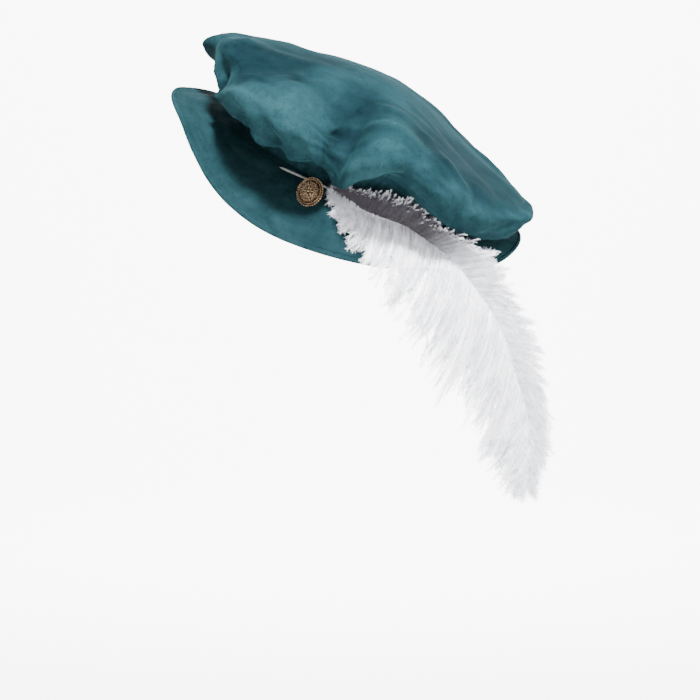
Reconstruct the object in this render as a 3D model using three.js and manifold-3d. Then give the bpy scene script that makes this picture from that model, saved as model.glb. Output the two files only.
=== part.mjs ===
// A soft velvet bonnet of Tudor cut, as worn: a slouching crown over a stiffened, drooping brim,
// with a filigree button that pins the quill of a white ostrich plume over the wearer's left ear.
//
// Sizes are millimetres. The part's frame is upright, +Z up, with the wearer's front to -Y and the
// wearer's left to +X. The origin is the centre of the head opening. The bonnet sits tipped back
// and to the left, so the cloth is laid out in its own level frame, the hat frame, and then worn.
// Angles round the hat are in degrees from the front, over the left (90) and the back (180).

import * as THREE from "three";
import { mergeVertices } from "three/addons/utils/BufferGeometryUtils.js";
import Module from "manifold-3d";

const wasm = await Module();
wasm.setup();

// How the bonnet is worn, in degrees.
const TIP_BACK = 23.2;
const TIP_LEFT = 14.4;

// Head opening, an oval of 58 cm round.
const HEAD_HALF_WIDTH = 84;
const HEAD_HALF_LENGTH = 100;

// Brim, an oval in plan, with the height of its rim above the opening at each angle.
const BRIM_HALF_WIDTH = 140;
const BRIM_HALF_LENGTH = 166;
const BRIM_THICK = 3;
const BRIM_BOW = 1.25; // how late across its width the brim bends down
const BRIM_SEGMENTS = 64;
const BRIM_STATIONS = 6;
const BRIM_RIM = [
  { at: 0, rim: 0 },
  { at: 22, rim: -2 },
  { at: 37, rim: -18 },
  { at: 46, rim: -29 },
  { at: 57, rim: -38 },
  { at: 72, rim: -43 },
  { at: 90, rim: -41 },
  { at: 112, rim: -34 },
  { at: 135, rim: -21 },
  { at: 155, rim: -10 },
  { at: 180, rim: 2 },
  { at: 210, rim: -8 },
  { at: 240, rim: -24 },
  { at: 270, rim: -32 },
  { at: 300, rim: -24 },
  { at: 329, rim: -10 },
  { at: 345, rim: -5 },
];

// Crown, a pouch of cloth. Each section has the radius and height of its lower lip, its outermost
// radius, the radius and height of its shoulder, and the height of the top halfway to the middle.
const CLOTH = 2;
const SEAM_GAP = 0.3;
const CROWN_ROOT = BRIM_THICK / 2 + SEAM_GAP;
const CROWN_TOP = 81;
const CROWN_SECTIONS = [
  { at: 12, lip: 128, low: 28, reach: 137, shoulder: 148, high: 70, crest: 80 },
  { at: 26, lip: 131, low: 26, reach: 136, shoulder: 143, high: 67, crest: 80 },
  { at: 40, lip: 139, low: 23, reach: 145, shoulder: 146, high: 62, crest: 80 },
  { at: 52, lip: 142, low: 23, reach: 150, shoulder: 146, high: 60, crest: 80 },
  { at: 63, lip: 141, low: 20, reach: 150, shoulder: 146, high: 58, crest: 78 },
  { at: 71, lip: 138, low: 20, reach: 147, shoulder: 142, high: 55, crest: 76 },
  { at: 79, lip: 126, low: 21, reach: 138, shoulder: 134, high: 50, crest: 74 },
  { at: 86, lip: 112, low: 14, reach: 126, shoulder: 122, high: 46, crest: 73 },
  { at: 94, lip: 121, low: 33, reach: 136, shoulder: 132, high: 54, crest: 73 },
  { at: 104, lip: 136, low: 49, reach: 146, shoulder: 142, high: 62, crest: 73 },
  { at: 115, lip: 141, low: 48, reach: 150, shoulder: 146, high: 62, crest: 71 },
  { at: 124, lip: 144, low: 34, reach: 152, shoulder: 148, high: 56, crest: 68 },
  { at: 133, lip: 148, low: 18, reach: 154, shoulder: 150, high: 47, crest: 65 },
  { at: 146, lip: 151, low: 14, reach: 156, shoulder: 152, high: 39, crest: 60 },
  { at: 160, lip: 151, low: 15, reach: 160, shoulder: 160, high: 31, crest: 55 },
  { at: 172, lip: 153, low: 18, reach: 163, shoulder: 164, high: 27, crest: 52 },
  { at: 184, lip: 153, low: 18, reach: 164, shoulder: 165, high: 26, crest: 52 },
  { at: 205, lip: 153, low: 14, reach: 162, shoulder: 158, high: 28, crest: 56 },
  { at: 235, lip: 143, low: 14, reach: 156, shoulder: 152, high: 38, crest: 64 },
  { at: 270, lip: 136, low: 16, reach: 150, shoulder: 146, high: 46, crest: 69 },
  { at: 305, lip: 140, low: 16, reach: 152, shoulder: 148, high: 49, crest: 71 },
  { at: 330, lip: 150, low: 19, reach: 160, shoulder: 156, high: 50, crest: 72 },
  { at: 343, lip: 156, low: 24, reach: 168, shoulder: 162, high: 50, crest: 72 },
  { at: 355, lip: 134, low: 28, reach: 142, shoulder: 147, high: 64, crest: 77 },
];
const CLOTH_RADIUS = 270; // of the crown's cloth laid flat, before it is gathered to the opening
const CROWN_SEGMENTS = 80;
const CROWN_CLOSER_AT = 92; // the segments lie closest together here
const CROWN_CLOSER = 0.45;
const CROWN_STATIONS = 17;

// Folds of the crown's cloth, each a ridge or, below zero, a valley from one place to another.
// A place is an angle and a share of the way up the cloth, from the seam (0) to the middle (1).
const CROWN_FOLDS = [
  { from: 26, low: 0.42, to: 62, high: 0.62, wide: 13, rise: 9 },
  { from: 26, low: 0.58, to: 50, high: 0.76, wide: 18, rise: -10 },
  { from: 26, low: 0.42, to: 6, high: 0.6, wide: 8, rise: 4 },
  { from: 85, low: 0.16, to: 83, high: 0.44, wide: 11, rise: -6 },
  { from: 82, low: 0.55, to: 74, high: 0.84, wide: 22, rise: -11 },
  { from: 91, low: 0.24, to: 98, high: 0.7, wide: 11, rise: 10 },
  { from: 99, low: 0.77, to: 112, high: 0.9, wide: 14, rise: 5 },
  { from: 118, low: 0.36, to: 128, high: 0.6, wide: 14, rise: -4 },
  { from: 146, low: 0.3, to: 168, high: 0.56, wide: 13, rise: 5 },
  { from: 196, low: 0.4, to: 222, high: 0.72, wide: 20, rise: -6 },
  { from: 250, low: 0.36, to: 262, high: 0.7, wide: 20, rise: 5 },
  { from: 292, low: 0.36, to: 286, high: 0.72, wide: 20, rise: -6 },
  { from: 355, low: 0.4, to: 344, high: 0.72, wide: 13, rise: -8 },
];

// Button, a domed filigree disc on a plain shank.
const BUTTON_RADIUS = 13.9;
const BUTTON_HIGH = 7.5;
const BUTTON_PROFILE = [
  { radius: 0, height: 0, beads: 0, scrolls: 0 },
  { radius: 0.9, height: 0, beads: 0, scrolls: 0 },
  { radius: 0.98, height: 0.18, beads: 0.02, scrolls: 0 },
  { radius: 0.91, height: 0.34, beads: 0.08, scrolls: 0 },
  { radius: 0.81, height: 0.26, beads: 0, scrolls: 0 },
  { radius: 0.7, height: 0.4, beads: 0, scrolls: 0.07 },
  { radius: 0.57, height: 0.47, beads: 0, scrolls: 0.07 },
  { radius: 0.49, height: 0.48, beads: 0, scrolls: 0 },
  { radius: 0.42, height: 0.6, beads: 0, scrolls: 0 },
  { radius: 0.32, height: 0.5, beads: 0, scrolls: 0 },
  { radius: 0.14, height: 0.6, beads: 0, scrolls: 0 },
  { radius: 0, height: 0.66, beads: 0, scrolls: 0 },
];
const BUTTON_BEADS = 16;
const BUTTON_SCROLLS = 8;
const BUTTON_SCROLL_TWIST = 4; // radians that a scroll turns between the middle and the rim
const BUTTON_SEGMENTS = 64;
const SHANK_RADIUS = 2.5;
const SHANK_LENGTH = 10; // as far as the brim
const BUTTON_PLACE = new THREE.Vector3(105.2, -21.2, -4); // its back face's middle, hat frame
const BUTTON_LIES_BACK = 15; // degrees its face looks up from level
const BUTTON_TURN = 34; // degrees its face looks to the front

// Plume. The shaft's route is in the hat frame as far as the rim, and upright where it hangs.
const SHAFT_ON_HAT = [
  { x: 84.8, y: -53, z: -0.8 },
  { x: 89.2, y: -29, z: 0.2 },
  { x: 91.6, y: -7.2, z: 0.6 },
  { x: 95.3, y: 11.7, z: -1.4 },
  { x: 97.7, y: 29.9, z: -3.8 },
  { x: 94.6, y: 47.2, z: -3.8 },
  { x: 90.4, y: 65.7, z: -3.9 },
  { x: 93.3, y: 90.1, z: -7.6 },
  { x: 100.3, y: 111.4, z: -11 },
];
const SHAFT_HANGING = [
  { x: 98, y: 104, z: -96 },
  { x: 97, y: 121, z: -119.5 },
  { x: 96, y: 133.7, z: -145 },
  { x: 93, y: 142, z: -170.5 },
  { x: 91, y: 150, z: -196 },
  { x: 90, y: 155, z: -221.5 },
  { x: 86, y: 153, z: -272.5 },
];
const SHAFT_THICK = 3;
const SHAFT_TIP_THICK = 1.2;
const SHAFT_RINGS = 30;
const SHAFT_SIDES = 6;

// Vanes. Each row has a share of the way along the shaft and the upright place where its barb ends.
const VANE_STARTS = 0.125;
const VANE_ENDS = 0.985;
const OUTER_VANE = [
  { at: 0.125, x: 98, y: -13, z: -31 },
  { at: 0.172, x: 112, y: -6, z: -53 },
  { at: 0.221, x: 126, y: 5, z: -74 },
  { at: 0.267, x: 130, y: 17, z: -93 },
  { at: 0.317, x: 127, y: 29, z: -114 },
  { at: 0.382, x: 121, y: 43, z: -137 },
  { at: 0.442, x: 114, y: 56, z: -161 },
  { at: 0.507, x: 108, y: 72, z: -185 },
  { at: 0.582, x: 103, y: 91, z: -206 },
  { at: 0.657, x: 100, y: 104, z: -226 },
  { at: 0.727, x: 97, y: 117, z: -243 },
  { at: 0.866, x: 92, y: 135, z: -271 },
  { at: 1, x: 88, y: 150, z: -288 },
];
const INNER_VANE = [
  { at: 0.125, x: 91, y: -8, z: -12 },
  { at: 0.172, x: 96, y: 14, z: -14 },
  { at: 0.221, x: 101, y: 33, z: -14 },
  { at: 0.267, x: 107, y: 52, z: -18 },
  { at: 0.317, x: 115, y: 74, z: -30 },
  { at: 0.382, x: 119, y: 103, z: -53 },
  { at: 0.442, x: 112, y: 127, z: -72 },
  { at: 0.507, x: 102, y: 141, z: -95 },
  { at: 0.582, x: 96, y: 156, z: -127 },
  { at: 0.657, x: 93, y: 167, z: -157 },
  { at: 0.727, x: 91, y: 171, z: -196 },
  { at: 0.8, x: 89, y: 172, z: -222 },
  { at: 0.866, x: 87, y: 168, z: -252 },
  { at: 1, x: 84, y: 157, z: -286 },
];
const BARB_BOW = 0.08; // how far a barb bows outward, as a share of its length
const VANE_THICK = 2.6;
const VANE_EDGE_THICK = 1.5;
const LOCKS = 18; // locks a vane
const VANE_ROWS = 6;
const LOCK_NOTCH = 0.76; // length between two locks, as a share of a lock's
const LOCK_RISE = 2.2;
const KEEP_CLEAR = 0.5; // between the plume and what it lies on
const RIM_OVERHANG = 7; // how far past the rim the barbs go before they fall

const VELVET = { color: 0x2c6b75, roughness: 0.9, metalness: 0 };
const OLD_GOLD = { color: 0x8a6a3a, roughness: 0.45, metalness: 0.9 };
const WHITE_DOWN = { color: 0xeeeef2, roughness: 0.95, metalness: 0 };

const UP = new THREE.Vector3(0, 0, 1);
const LEFT = new THREE.Vector3(1, 0, 0);
const CLOTH_MIDDLE = new THREE.Vector2(0, 0);
const rad = THREE.MathUtils.degToRad;
const mix = THREE.MathUtils.lerp;

// The hat frame in the upright frame.
const WORN = new THREE.Matrix4()
  .makeRotationX(-rad(TIP_BACK))
  .multiply(new THREE.Matrix4().makeRotationY(rad(TIP_LEFT)));

// The point at a radius and height, at an angle round the hat.
function around(angle, radius, height) {
  const a = rad(angle);
  return new THREE.Vector3(radius * Math.sin(a), -radius * Math.cos(a), height);
}

// The radius of an oval at an angle round the hat.
function oval(angle, halfWidth, halfLength) {
  const a = rad(angle);
  return 1 / Math.hypot(Math.sin(a) / halfWidth, Math.cos(a) / halfLength);
}

// A column of a table read between its rows, smoothly. A closed table wraps round after period.
function read(rows, key, column, where, period = 0) {
  const n = rows.length;
  const row = (i) => {
    const turns = period ? Math.floor(i / n) : 0;
    const r = rows[period ? i - turns * n : Math.min(Math.max(i, 0), n - 1)];
    return { place: r[key] + turns * period, value: r[column] };
  };
  let here = where;
  if (period) while (here < rows[0][key]) here += period;
  let i = 0;
  while (i < n - (period ? 1 : 2) && here > row(i + 1).place) i += 1;
  const [before, start, end, after] = [row(i - 1), row(i), row(i + 1), row(i + 2)];
  const span = end.place - start.place;
  const t = Math.min(Math.max((here - start.place) / span, 0), 1);
  const slope = (a, b) => (b.place > a.place ? (b.value - a.value) / (b.place - a.place) : 0);
  const out = slope(before, end) * span;
  const into = slope(start, after) * span;
  return (
    start.value * (1 + t * t * (2 * t - 3)) +
    out * t * (t - 1) * (t - 1) +
    end.value * t * t * (3 - 2 * t) +
    into * t * t * (t - 1)
  );
}

// A clamped cubic B-spline through a list of control points, at a share of its length.
function spline(points, share) {
  const spans = points.length - 3;
  const knots = [0, 0, 0, ...Array.from({ length: spans + 1 }, (_, i) => i / spans), 1, 1, 1];
  const t = Math.min(Math.max(share, 0), 1 - 1e-9);
  const k = 3 + Math.floor(t * spans);
  const d = [0, 1, 2, 3].map((j) => points[k - 3 + j].clone());
  for (let r = 1; r <= 3; r += 1)
    for (let j = 3; j >= r; j -= 1) {
      const low = knots[k - 3 + j];
      const a = (t - low) / (knots[k + 1 + j - r] - low);
      d[j].lerpVectors(d[j - 1], d[j], a);
    }
  return d[3];
}

// The crown's section at an angle, as control points of radius and height.
function crownSection(angle) {
  const get = (column) => read(CROWN_SECTIONS, "at", column, angle, 360);
  const root = oval(angle, HEAD_HALF_WIDTH, HEAD_HALF_LENGTH);
  const columns = ["lip", "low", "reach", "shoulder", "high", "crest"];
  const [lip, low, reach, shoulder, high, crest] = columns.map(get);
  return [
    [root, CROWN_ROOT],
    [root + 1, CROWN_ROOT + 4],
    [mix(root, lip, 0.15), mix(CROWN_ROOT, low, 0.5)],
    [mix(root, lip, 0.65), low],
    [lip, low - 3],
    [reach + 3, (low + high) / 2],
    [shoulder, high + 2],
    [reach * 0.8, mix(high, crest, 0.6)],
    [reach * 0.5, crest],
    [reach * 0.18, CROWN_TOP],
    [0, CROWN_TOP],
  ].map(([r, z]) => new THREE.Vector2(r, z));
}

// A place on the crown's cloth laid out flat, where it is a round piece with the seam as its edge.
function onFlatCloth(angle, share) {
  return new THREE.Vector2(0, CLOTH_RADIUS * (1 - share)).rotateAround(CLOTH_MIDDLE, rad(angle));
}

// The rise of all folds at a place on the crown. Each fold is a soft line on the flat cloth.
function foldRise(angle, share) {
  const here = onFlatCloth(angle, share);
  let rise = 0;
  for (const fold of CROWN_FOLDS) {
    const start = onFlatCloth(fold.from, fold.low);
    const way = onFlatCloth(fold.to, fold.high).sub(start);
    const along = here.clone().sub(start).dot(way) / way.lengthSq();
    const nearest = start.addScaledVector(way, Math.min(Math.max(along, 0), 1));
    const away = here.distanceTo(nearest) / fold.wide;
    rise += fold.rise * Math.exp(-away * away);
  }
  return rise;
}

// A point on the crown's outer face before its folds, and with them.
function crownForm(angle, share) {
  const p = spline(crownSection(angle), share);
  return around(angle, p.x, p.y);
}

function normalOf(form, angle, share) {
  const da = 1.5;
  const ds = 0.01;
  const s = Math.min(Math.max(share, ds), 1 - 2 * ds);
  const round = form(angle + da, s).sub(form(angle - da, s));
  const up = form(angle, s + ds).sub(form(angle, s - ds));
  return round.cross(up).normalize();
}

function crownFace(angle, share) {
  const p = crownForm(angle, share);
  const calm = Math.min(1, share / 0.1, (1 - share) / 0.12);
  return p.addScaledVector(normalOf(crownForm, angle, share), foldRise(angle, share) * calm);
}

// A point on the brim's middle face, a share of the way from the seam to the rim.
function brimFace(angle, share) {
  const inner = oval(angle, HEAD_HALF_WIDTH, HEAD_HALF_LENGTH);
  const outer = oval(angle, BRIM_HALF_WIDTH, BRIM_HALF_LENGTH);
  const rim = read(BRIM_RIM, "at", "rim", angle, 360);
  return around(angle, mix(inner, outer, share), rim * Math.pow(Math.max(share, 0), BRIM_BOW));
}

// A shell turned round the hat: a lathe whose rings are then set on both faces of a sheet of cloth.
// Each place in the loop is a share of the way along the cloth and an offset from its face.
function shell(face, loop, segments, angleAt) {
  const profile = loop.map((_, i) => new THREE.Vector2(1, i));
  const geometry = new THREE.LatheGeometry(profile, segments);
  const position = geometry.attributes.position;
  const uv = geometry.attributes.uv;
  for (let i = 0; i < position.count; i += 1) {
    const place = loop[Math.round(uv.getY(i) * (loop.length - 1))];
    const angle = place.pole ? 0 : angleAt(uv.getX(i) % 1);
    const p = face(angle, place.share);
    const out = place.pole ? UP : normalOf(face, angle, place.share);
    p.addScaledVector(out, place.offset);
    position.setXYZ(i, p.x, p.y, p.z);
  }
  return geometry;
}

// Bare geometry, with positions alone, for manifold-3d.
function solidOf(geometry) {
  const bare = (geometry.index ? geometry.toNonIndexed() : geometry).clone();
  bare.deleteAttribute("normal");
  bare.deleteAttribute("uv");
  const merged = mergeVertices(bare, 1e-3);
  const corners = merged.index.array;
  const triangles = [];
  for (let i = 0; i < corners.length; i += 3) {
    const [a, b, c] = corners.slice(i, i + 3);
    if (a !== b && b !== c && c !== a) triangles.push(a, b, c);
  }
  const mesh = new wasm.Mesh({
    numProp: 3,
    vertProperties: new Float32Array(merged.attributes.position.array),
    triVerts: new Uint32Array(triangles),
  });
  const solid = new wasm.Manifold(mesh);
  if (solid.volume() >= 0) return solid;
  for (let i = 0; i < mesh.triVerts.length; i += 3)
    [mesh.triVerts[i], mesh.triVerts[i + 1]] = [mesh.triVerts[i + 1], mesh.triVerts[i]];
  return new wasm.Manifold(mesh);
}

function geometryOf(solid) {
  const { vertProperties, triVerts } = solid.getMesh();
  const geometry = new THREE.BufferGeometry();
  geometry.setAttribute("position", new THREE.BufferAttribute(new Float32Array(vertProperties), 3));
  geometry.setIndex(new THREE.BufferAttribute(new Uint32Array(triVerts), 1));
  geometry.computeVertexNormals();
  return geometry;
}

const largest = (solid) =>
  solid.decompose().reduce((best, piece) => (piece.volume() > best.volume() ? piece : best));

const evenly = (n) => Array.from({ length: n }, (_, i) => i / (n - 1));

// The crown's segments crowd together on the side with the deepest folds.
function crownAngle(turn) {
  const even = turn * 2 * Math.PI;
  return THREE.MathUtils.radToDeg(even - CROWN_CLOSER * Math.sin(even - rad(CROWN_CLOSER_AT)));
}

function crownSolid(spare = 0) {
  const shares = evenly(CROWN_STATIONS);
  const outer = shares.map((share) => ({ share, offset: spare, pole: share === 1 }));
  const inner = shares.map((share) => ({ share, offset: -CLOTH - spare, pole: share === 1 }));
  const loop = [...inner.reverse(), ...outer];
  return solidOf(shell(crownFace, loop, CROWN_SEGMENTS, crownAngle));
}

function brimSolid(spare = 0) {
  const shares = evenly(BRIM_STATIONS);
  const half = BRIM_THICK / 2 + spare;
  const over = shares.map((share) => ({ share, offset: half }));
  const under = shares.map((share) => ({ share, offset: -half }));
  const loop = [...over, ...under.reverse(), over[0]];
  const geometry = shell(brimFace, loop, BRIM_SEGMENTS, (turn) => turn * 360);
  return solidOf(geometry);
}

// A cast filigree face on a shank: a dome with a raised ring, scrolls round the ring and beads
// round the rim.
function buttonSolid() {
  const outline = BUTTON_PROFILE.map(({ radius, height }) => new THREE.Vector2(radius, height));
  const geometry = new THREE.LatheGeometry(outline, BUTTON_SEGMENTS);
  geometry.scale(BUTTON_RADIUS, BUTTON_HIGH, BUTTON_RADIUS);
  const position = geometry.attributes.position;
  const uv = geometry.attributes.uv;
  for (let i = 0; i < position.count; i += 1) {
    const row = BUTTON_PROFILE[Math.round(uv.getY(i) * (BUTTON_PROFILE.length - 1))];
    const turn = (uv.getX(i) % 1) * 2 * Math.PI;
    const bead = Math.cos(turn * BUTTON_BEADS);
    const scroll = Math.cos(turn * BUTTON_SCROLLS + row.radius * BUTTON_SCROLL_TWIST);
    const relief = bead * row.beads + scroll * row.scrolls;
    position.setY(i, position.getY(i) + relief * BUTTON_HIGH);
  }
  const shank = new THREE.CylinderGeometry(SHANK_RADIUS, SHANK_RADIUS, SHANK_LENGTH + 1, 12);
  shank.translate(0, (1 - SHANK_LENGTH) / 2, 0);
  const whole = solidOf(geometry.rotateX(Math.PI / 2)).add(solidOf(shank.rotateX(Math.PI / 2)));
  return largest(whole.transform(buttonTurn().elements).subtract(brimSolid(SEAM_GAP)));
}

// The button's face looks out to the left, up by how far it lies back and round to the front.
function buttonTurn() {
  const toFront = new THREE.Matrix4().makeRotationZ(-rad(BUTTON_TURN));
  const layBack = new THREE.Matrix4().makeRotationY(rad(90 - BUTTON_LIES_BACK));
  const place = new THREE.Matrix4().makeTranslation(BUTTON_PLACE);
  return place.multiply(toFront).multiply(layBack);
}

const SHAFT = new THREE.CatmullRomCurve3(
  [
    ...SHAFT_ON_HAT.map(({ x, y, z }) => new THREE.Vector3(x, y, z).applyMatrix4(WORN)),
    ...SHAFT_HANGING.map(({ x, y, z }) => new THREE.Vector3(x, y, z)),
  ],
  false,
  "centripetal",
);

// The brim's top under a place, in the hat frame. Beyond the rim it goes on, falling steeply.
function brimTopAt(place) {
  const angle = THREE.MathUtils.radToDeg(Math.atan2(place.x, -place.y));
  const turn = (angle + 360) % 360;
  const inner = oval(turn, HEAD_HALF_WIDTH, HEAD_HALF_LENGTH);
  const outer = oval(turn, BRIM_HALF_WIDTH, BRIM_HALF_LENGTH);
  const radius = Math.hypot(place.x, place.y);
  const share = Math.min(Math.max((radius - inner) / (outer - inner), 0), 1);
  const past = Math.max(radius - outer - RIM_OVERHANG, 0);
  return brimFace(turn, share).z + BRIM_THICK / 2 - 3 * past;
}

const TAKEN_OFF = WORN.clone().invert();

// An upright place, raised where it would lie in the brim.
function overBrim(place, lift) {
  const worn = place.clone().applyMatrix4(TAKEN_OFF);
  worn.z = Math.max(worn.z, brimTopAt(worn) + lift);
  return worn.applyMatrix4(WORN);
}

// A place along a barb that leaves the shaft at a share of its way. It starts behind the shaft.
function barbPlace(vane, at, share, long) {
  const get = (column) => read(vane, "at", column, at);
  const start = SHAFT.getPointAt(at);
  const tip = new THREE.Vector3(get("x"), get("y"), get("z"));
  const way = tip.sub(start);
  const reach = share * long - 1 / way.length();
  const bow = 4 * share * (1 - share) * BARB_BOW * way.length();
  return start.addScaledVector(way, reach).addScaledVector(LEFT, bow);
}

// A round rod spun along the shaft's route: a lathe whose rings are then set on the route.
function shaftSolid() {
  const profile = evenly(SHAFT_RINGS).map((t) => new THREE.Vector2(t > 0 && t < 1 ? 1 : 0, t));
  const geometry = new THREE.LatheGeometry(profile, SHAFT_SIDES);
  const position = geometry.attributes.position;
  const uv = geometry.attributes.uv;
  for (let i = 0; i < position.count; i += 1) {
    const share = Math.round(uv.getY(i) * (SHAFT_RINGS - 1)) / (SHAFT_RINGS - 1);
    const turn = (uv.getX(i) % 1) * 2 * Math.PI;
    const along = SHAFT.getTangentAt(share);
    const side = LEFT.clone().cross(along).normalize();
    const face = side.clone().cross(along);
    const pole = share === 0 || share === 1;
    const radius = pole ? 0 : mix(SHAFT_THICK, SHAFT_TIP_THICK, share) / 2;
    const p = SHAFT.getPointAt(share);
    p.addScaledVector(side, radius * Math.cos(turn)).addScaledVector(face, radius * Math.sin(turn));
    position.setXYZ(i, p.x, p.y, p.z);
  }
  return solidOf(geometry);
}

// One vane: a block whose columns follow the barbs. Each lock is raised in its middle, and the far
// edge is notched between two locks.
function vaneSolid(vane, side) {
  const geometry = new THREE.BoxGeometry(1, 1, 1, LOCKS * 2, VANE_ROWS);
  const position = geometry.attributes.position;
  for (let i = 0; i < position.count; i += 1) {
    const run = position.getX(i) + 0.5;
    const share = position.getY(i) + 0.5;
    const at = mix(VANE_STARTS, VANE_ENDS, run);
    const middle = 1 - Math.abs(2 * ((run * LOCKS) % 1) - 1);
    const long = mix(LOCK_NOTCH, 1, middle);
    const lay = (s) => overBrim(barbPlace(vane, at, s, long), KEEP_CLEAR + VANE_THICK / 2);
    const p = lay(share);
    const along = lay(Math.min(share + 0.05, 1)).sub(lay(Math.max(share - 0.05, 0)));
    const out = along.cross(SHAFT.getTangentAt(at)).multiplyScalar(side).normalize();
    const thick = mix(VANE_THICK, VANE_EDGE_THICK, share);
    p.addScaledVector(out, position.getZ(i) * thick + LOCK_RISE * middle * share);
    position.setXYZ(i, p.x, p.y, p.z);
  }
  return solidOf(geometry);
}

function plumeSolid() {
  const whole = shaftSolid().add(vaneSolid(OUTER_VANE, 1)).add(vaneSolid(INNER_VANE, -1));
  const kept = [crownSolid(KEEP_CLEAR), brimSolid(KEEP_CLEAR)];
  return kept.reduce((plume, cloth) => plume.subtract(cloth.transform(WORN.elements)), whole);
}

function piece(name, geometry, look) {
  const mesh = new THREE.Mesh(geometry, new THREE.MeshStandardMaterial(look));
  mesh.name = name;
  return mesh;
}

const hat = new THREE.Group();
hat.applyMatrix4(WORN);
hat.add(piece("crown", geometryOf(crownSolid()), { ...VELVET }));
hat.add(piece("brim", geometryOf(brimSolid()), { ...VELVET }));

hat.add(piece("button", geometryOf(buttonSolid()), OLD_GOLD));

const bonnet = new THREE.Group();
bonnet.add(hat);
bonnet.add(piece("plume", geometryOf(largest(plumeSolid())), WHITE_DOWN));

export default bonnet;
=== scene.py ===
import math

import bmesh
import bpy
import numpy as np
from mathutils import Matrix, Vector
from mathutils.bvhtree import BVHTree


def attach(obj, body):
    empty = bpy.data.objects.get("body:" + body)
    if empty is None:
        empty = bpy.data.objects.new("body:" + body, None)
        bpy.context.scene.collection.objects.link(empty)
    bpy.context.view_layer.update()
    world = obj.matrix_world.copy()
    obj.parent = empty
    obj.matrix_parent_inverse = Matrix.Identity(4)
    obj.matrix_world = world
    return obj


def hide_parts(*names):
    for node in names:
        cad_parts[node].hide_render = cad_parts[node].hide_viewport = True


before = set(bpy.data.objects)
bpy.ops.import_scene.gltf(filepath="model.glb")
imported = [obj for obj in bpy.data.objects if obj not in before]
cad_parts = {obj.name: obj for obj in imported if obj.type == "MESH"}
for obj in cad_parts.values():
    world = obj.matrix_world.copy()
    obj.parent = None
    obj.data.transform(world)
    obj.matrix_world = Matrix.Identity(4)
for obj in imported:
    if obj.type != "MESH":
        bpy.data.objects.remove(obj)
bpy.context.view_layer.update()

# The hat is laid out in millimetres in its own level frame, then worn and brought to metres.
# Angles round it are in degrees from the front, over the left (90) and the back (180).
MM = 0.001
TIP_BACK = 23.2
TIP_LEFT = 14.4
WORN = (Matrix.Rotation(-math.radians(TIP_BACK), 4, "X")
        @ Matrix.Rotation(math.radians(TIP_LEFT), 4, "Y"))
WORN_GRID = np.array(WORN.to_3x3())
LEFT = np.array([1.0, 0.0, 0.0])


# ---------------------------------------------------------------- camera

CAMERA_LENS = 140.0
CAMERA_WIDTH = 36.0
CAMERA_AWAY = 2.4
CAMERA_ELEVATION = 5.0
CAMERA_AIM = Vector((0.0, 0.0026, -0.162))


def place_camera():
    data = bpy.data.cameras.new("camera")
    data.lens = CAMERA_LENS
    data.sensor_width = CAMERA_WIDTH
    data.clip_end = 20.0
    camera = bpy.data.objects.new("camera", data)
    rise = math.radians(CAMERA_ELEVATION)
    away = Vector((math.cos(rise), 0.0, math.sin(rise)))
    camera.location = CAMERA_AIM + away * CAMERA_AWAY
    camera.rotation_euler = (-away).to_track_quat("-Z", "Y").to_euler()
    bpy.context.scene.collection.objects.link(camera)
    bpy.context.scene.camera = camera


# ---------------------------------------------------------------- reading tables and curves

def reader(rows, names, name, period=0.0):
    """A smooth curve through one named column. A closed table wraps round after the period."""
    places, values = (np.array([row[names.index(n)] for row in rows], float) for n in ("at", name))
    first = places[0]
    if period:
        places = np.concatenate([places[-2:] - period, places, places[:2] + period])
        values = np.concatenate([values[-2:], values, values[:2]])
    slopes = np.empty_like(values)
    slopes[1:-1] = (values[2:] - values[:-2]) / (places[2:] - places[:-2])
    slopes[0] = (values[1] - values[0]) / (places[1] - places[0])
    slopes[-1] = (values[-1] - values[-2]) / (places[-1] - places[-2])

    def at(where):
        where = np.asarray(where, float)
        if period:
            where = (where - first) % period + first
        i = np.clip(np.searchsorted(places, where, side="right") - 1, 0, len(places) - 2)
        span = places[i + 1] - places[i]
        t = np.clip((where - places[i]) / span, 0, 1)
        return (values[i] * (1 + t * t * (2 * t - 3)) + slopes[i] * span * t * (t - 1) ** 2
                + values[i + 1] * t * t * (3 - 2 * t) + slopes[i + 1] * span * t * t * (t - 1))

    return at


def spline_weights(count, share):
    """How much each control point of a clamped cubic spline counts, at each share of the way."""
    knots = np.concatenate([np.zeros(3), np.linspace(0, 1, count - 2), np.ones(3)])
    t = np.clip(share, 0, 1 - 1e-9)
    weights = ((t >= knots[:-1, None]) & (t < knots[1:, None])).astype(float)
    for degree in (1, 2, 3):
        n = len(knots) - 1 - degree
        rise = (knots[degree:degree + n] - knots[:n])[:, None]
        fall = (knots[degree + 1:degree + 1 + n] - knots[1:n + 1])[:, None]
        up = np.where(rise > 0, (t - knots[:n, None]) / np.where(rise > 0, rise, 1), 0)
        down = np.where(fall > 0, (knots[degree + 1:degree + 1 + n, None] - t)
                        / np.where(fall > 0, fall, 1), 0)
        weights = up * weights[:n] + down * weights[1:n + 1]
    return weights


def mix(a, b, t):
    return a + (b - a) * t


def unit(v):
    return v / np.maximum(np.linalg.norm(v, axis=-1, keepdims=True), 1e-9)


def around(angle, radius, height):
    """Points at a radius and height, at angles round the hat."""
    a = np.radians(angle)
    return np.stack([radius * np.sin(a), -radius * np.cos(a), height + 0 * a], axis=-1)


def oval(angle, half_width, half_length):
    a = np.radians(angle)
    return 1 / np.hypot(np.sin(a) / half_width, np.cos(a) / half_length)


def worn(points):
    """From the hat's frame to the upright one, still in millimetres."""
    return points @ WORN_GRID.T


def taken_off(points):
    return points @ WORN_GRID


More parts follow.
